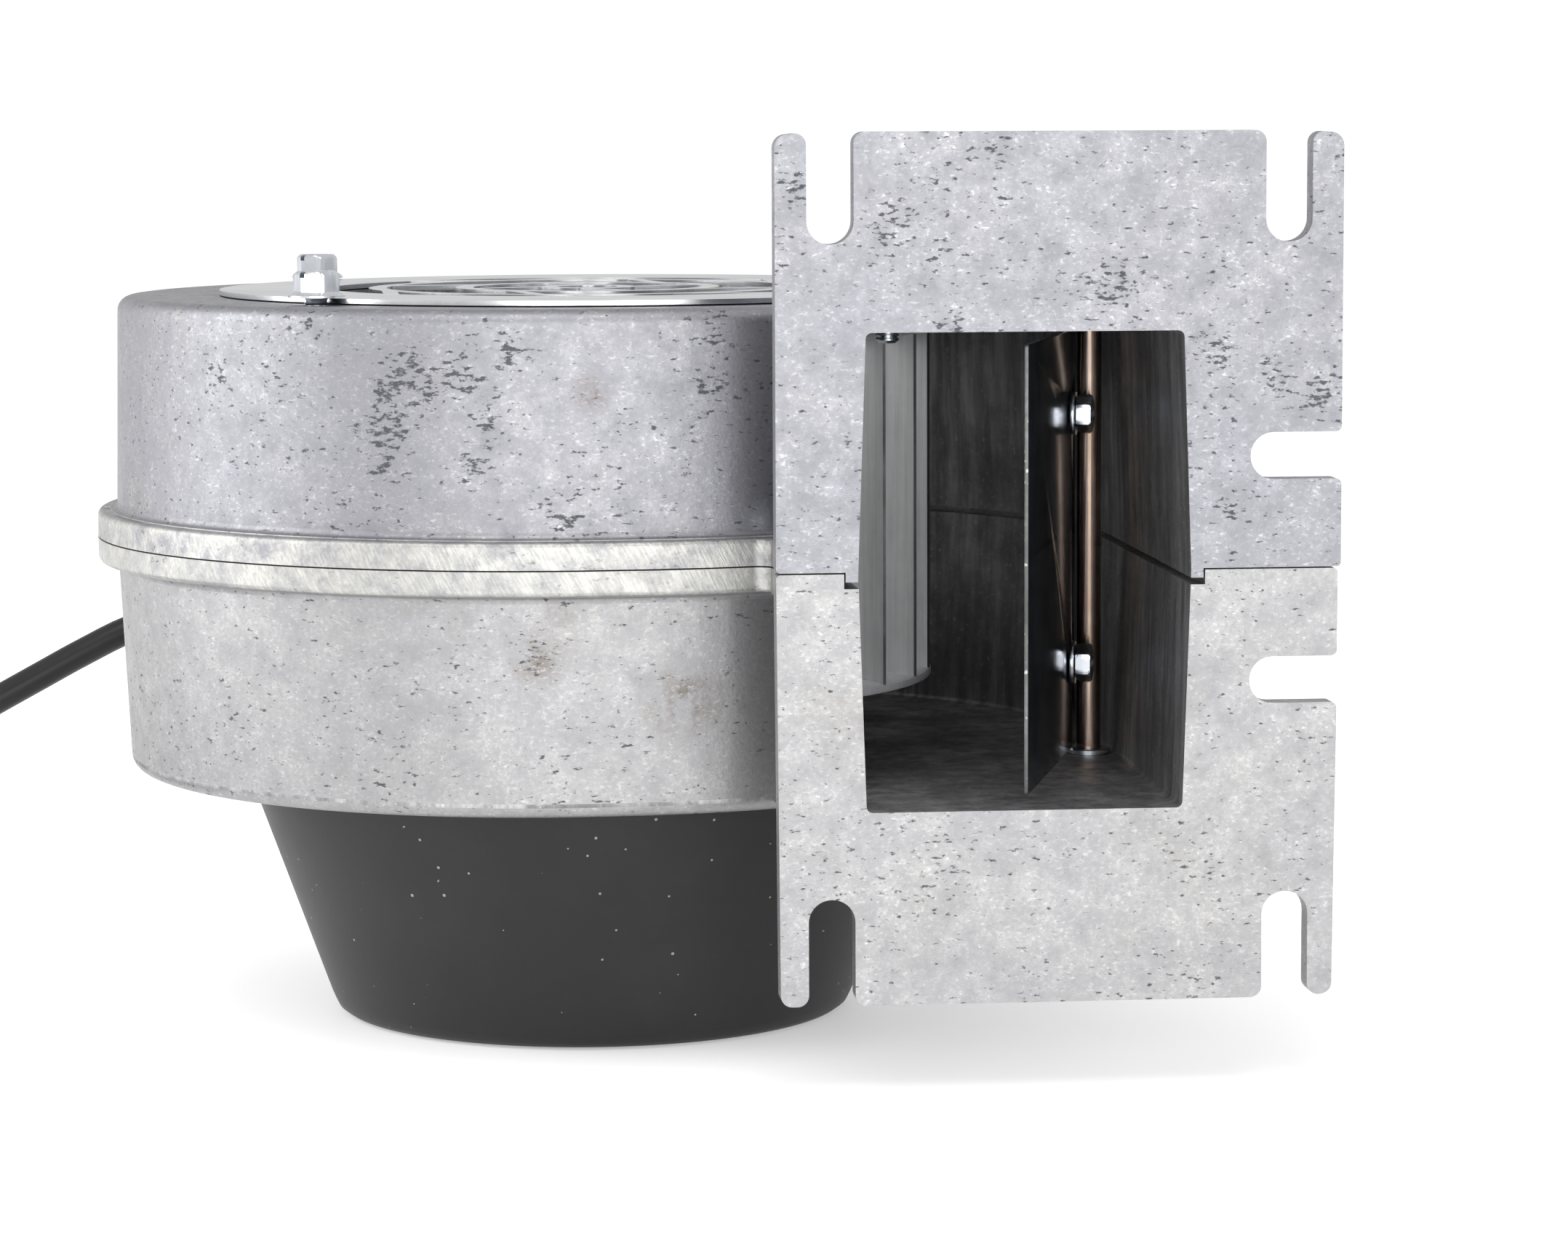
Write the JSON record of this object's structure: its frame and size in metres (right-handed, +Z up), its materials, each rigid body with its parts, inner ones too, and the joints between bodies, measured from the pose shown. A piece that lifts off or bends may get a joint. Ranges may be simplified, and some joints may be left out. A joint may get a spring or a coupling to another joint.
{
  "type": "combustion fan",
  "caption": "Boiler combustion fan: two-part die-cast scroll, slotted outlet flange, swinging flap, drum wheel, round inlet guard, motor under a black tapered cover and a mains lead.",
  "frame": {"origin": "shaft axis at the underside of the motor cover, the face the fan stands on", "axes": "+Z up along the shaft towards the inlet guard; -Y is the way the air leaves the outlet flange; +X towards the outlet side"},
  "size_m": [0.3907, 0.2651, 0.1846],
  "materials": {
    "cast_aluminium": "as-cast, mottled, matt to satin with worn bright edges",
    "bright_sheet_steel": "bright zinc-plated or ground sheet",
    "impeller_aluminium": "smooth rolled sheet",
    "zinc_plated_steel": "bright zinc plating, slightly blue",
    "hinge_rod_steel": "drawn bar with a brown heat tint",
    "laminated_steel": "stacked laminations, varnished",
    "copper_winding": "enamelled copper wire",
    "gasket_paper": "fibre sheet",
    "pale_plastic": "moulded",
    "black_plastic": "satin moulded, dusty",
    "black_rubber": "soft moulded",
    "black_cable": "PVC sheath, satin"
  },
  "bodies": {
    "housing": {"upper_shell": "cast_aluminium", "lower_shell": "cast_aluminium", "inlet_guard": "bright_sheet_steel", "stator_core": "laminated_steel", "winding_upper": "copper_winding", "winding_lower": "copper_winding", "upper_end_shield": "cast_aluminium", "lower_end_shield": "cast_aluminium", "upper_bearing": "bright_sheet_steel", "lower_bearing": "bright_sheet_steel", "heat_gasket": "gasket_paper", "run_capacitor": "pale_plastic", "terminal_block": "pale_plastic", "motor_cover": "black_plastic", "rod_bush_upper": "zinc_plated_steel", "rod_bush_lower": "zinc_plated_steel", "cable_gland": "black_rubber", "mains_cable": "black_cable", "mains_cable_tail": "black_cable", "cable_coil": "black_cable", "cable_tie": "black_plastic", "mains_plug": "black_rubber", "guard_screw_1": "zinc_plated_steel", "motor_bolt_1": "zinc_plated_steel", "shell_screw_1": "zinc_plated_steel", "guard_screw_2": "zinc_plated_steel", "motor_bolt_2": "zinc_plated_steel", "shell_screw_2": "zinc_plated_steel", "guard_screw_3": "zinc_plated_steel", "motor_bolt_3": "zinc_plated_steel", "shell_screw_3": "zinc_plated_steel", "guard_screw_4": "zinc_plated_steel", "motor_bolt_4": "zinc_plated_steel", "shell_screw_4": "zinc_plated_steel", "cover_screw_1": "zinc_plated_steel", "cover_screw_2": "zinc_plated_steel", "cover_screw_3": "zinc_plated_steel"},
    "rotor": {"impeller": "impeller_aluminium", "impeller_hub": "impeller_aluminium", "motor_shaft": "bright_sheet_steel", "rotor_core": "laminated_steel", "cooling_fan": "black_plastic"},
    "flap": {"flap_plate": "bright_sheet_steel", "flap_rod": "hinge_rod_steel", "flap_bolt_upper": "zinc_plated_steel", "flap_washer_upper": "zinc_plated_steel", "flap_nut_upper": "zinc_plated_steel", "flap_bolt_lower": "zinc_plated_steel", "flap_washer_lower": "zinc_plated_steel", "flap_nut_lower": "zinc_plated_steel"}
  },
  "joints": [
    {"name": "impeller_spin", "type": "hinge", "parent": "housing", "child": "rotor", "pos_m": [0, 0, 0.1], "axis": [0, 0, 1], "continuous": true},
    {"name": "flap_swing", "type": "hinge", "parent": "housing", "child": "flap", "pos_m": [0.1026, -0.025, 0.1], "axis": [0, 0, 1], "range_deg": [-26, 18]}
  ]
}
